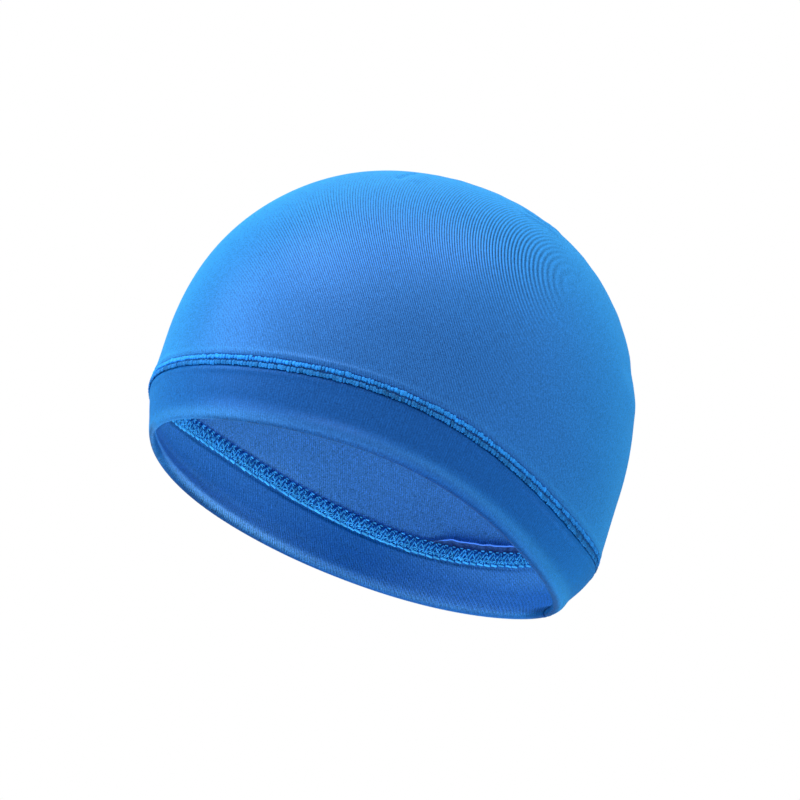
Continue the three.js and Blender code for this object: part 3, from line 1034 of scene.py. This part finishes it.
# The soft lights round the cap: the direction of each from its middle, its power in watts and its colour
LIGHT_DISTANCE = 1.5
LIGHT_SIZE = 1.0
WARM = (1.45, 1.03, 0.92)
HALF_WARM = (1.2, 1.01, 0.96)
COOL = (0.65, 0.96, 1.03)
WHITE = (1.0, 1.0, 1.0)
LIGHTS = {
    "above": {"direction": (0.42, -0.47, 0.77), "power": 12.7, "colour": WARM},
    "above_left": {"direction": (0.09, -0.95, 0.3), "power": 10.7, "colour": WHITE},
    "left": {"direction": (-0.26, -0.93, -0.27), "power": 6.4, "colour": COOL},
    "above_right": {"direction": (0.53, 0.28, 0.8), "power": 4.6, "colour": HALF_WARM},
    "right": {"direction": (0.66, 0.68, 0.28), "power": 6.8, "colour": COOL},
    "behind": {"direction": (-0.34, -0.2, 0.92), "power": 5.2, "colour": WARM},
    "behind_left": {"direction": (-0.74, -0.68, -0.02), "power": 3.2, "colour": WARM},
    "below_right": {"direction": (0.27, 0.85, -0.45), "power": 2.5, "colour": WHITE},
}
GLOSSY_LIGHTS = ("above", "above_left")  # those that the cloth's gloss shows
# A small light below the rim that reaches into the opening
OPENING_LIGHT = {
    "place": (0.06, 0.0, -0.14), "aim": (-0.06, 0.0, 0.07), "size": 0.1, "spread": 140.0,
    "power": 0.205, "colour": WHITE,
}
# How bright the white surroundings are: as light on the cap, in its gloss, and as the picture's background
WORLD_STRENGTHS = ((None, 0.38), ("Is Glossy Ray", 0.1), ("Is Camera Ray", 1.0))


def add_lights():
    middle = Vector((0, 0, 0.06))
    for name, light in LIGHTS.items():
        place = middle + Vector(light["direction"]).normalized() * LIGHT_DISTANCE
        area_light(name, place, middle, LIGHT_SIZE, light["power"], light["colour"], name in GLOSSY_LIGHTS)
    area_light("opening", **OPENING_LIGHT)
    world = bpy.data.worlds.new("studio")
    world.use_nodes = True
    nodes, links = world.node_tree.nodes, world.node_tree.links
    nodes.clear()
    output = nodes.new("ShaderNodeOutputWorld")
    ray = nodes.new("ShaderNodeLightPath")
    result = None
    for rays, strength in WORLD_STRENGTHS:
        background = nodes.new("ShaderNodeBackground")
        background.inputs["Color"].default_value = (1, 1, 1, 1)
        background.inputs["Strength"].default_value = strength
        if rays is None:
            result = background.outputs["Background"]
            continue
        mix = nodes.new("ShaderNodeMixShader")
        links.new(ray.outputs[rays], mix.inputs["Fac"])
        links.new(result, mix.inputs[1])
        links.new(background.outputs["Background"], mix.inputs[2])
        result = mix.outputs["Shader"]
    links.new(result, output.inputs["Surface"])
    bpy.context.scene.world = world


def add_floor():
    mesh = bpy.data.meshes.new("floor")
    half = FLOOR_WIDTH / 2
    corners = [(-half, -half, 0), (half, -half, 0), (half, half, 0), (-half, half, 0)]
    mesh.from_pydata(corners, [], [(0, 1, 2, 3)])
    mesh.materials.append(floor_material())
    floor = bpy.data.objects.new("floor", mesh)
    floor.location.z = FLOOR_HEIGHT
    bpy.context.scene.collection.objects.link(floor)


def add_camera():
    data = bpy.data.cameras.new("camera")
    data.sensor_width = SENSOR
    data.lens = FOCAL_PIXELS / FRAME_PIXELS * SENSOR
    camera = bpy.data.objects.new("camera", data)
    level = math.cos(VIEW_ELEVATION)
    back = (math.sin(VIEW_AZIMUTH) * level, -math.cos(VIEW_AZIMUTH) * level, math.sin(VIEW_ELEVATION))
    back = Vector(back)
    level_right = (-back).cross(Vector((0, 0, 1))).normalized()
    level_up = level_right.cross(-back)
    right = math.cos(VIEW_ROLL) * level_right - math.sin(VIEW_ROLL) * level_up
    up = math.sin(VIEW_ROLL) * level_right + math.cos(VIEW_ROLL) * level_up
    place = (VIEW_TARGET + back * VIEW_DISTANCE) * MM
    camera.matrix_world = Matrix.Translation(place) @ Matrix((right, up, back)).transposed().to_4x4()
    bpy.context.scene.collection.objects.link(camera)
    bpy.context.scene.camera = camera


add_camera()
jersey = jersey_material()
thread = thread_material("thread", THREAD_COLOUR)
crown = crown_piece(jersey)
band = band_piece(jersey)
allowance_piece(thread_material("bound_cloth", SHADED_BOUND_COLOUR))
raw_edge_piece(thread_material("raw_edge", RAW_EDGE_COLOUR))
crown_allowance = crown_allowance_piece(thread)
outer_stitching = ladder_stitches(thread)
chain_stitches(thread_material("inner_thread", LIT_INNER_THREAD_COLOUR))
add_lights()
add_floor()
bpy.context.scene.view_settings.view_transform = "Standard"
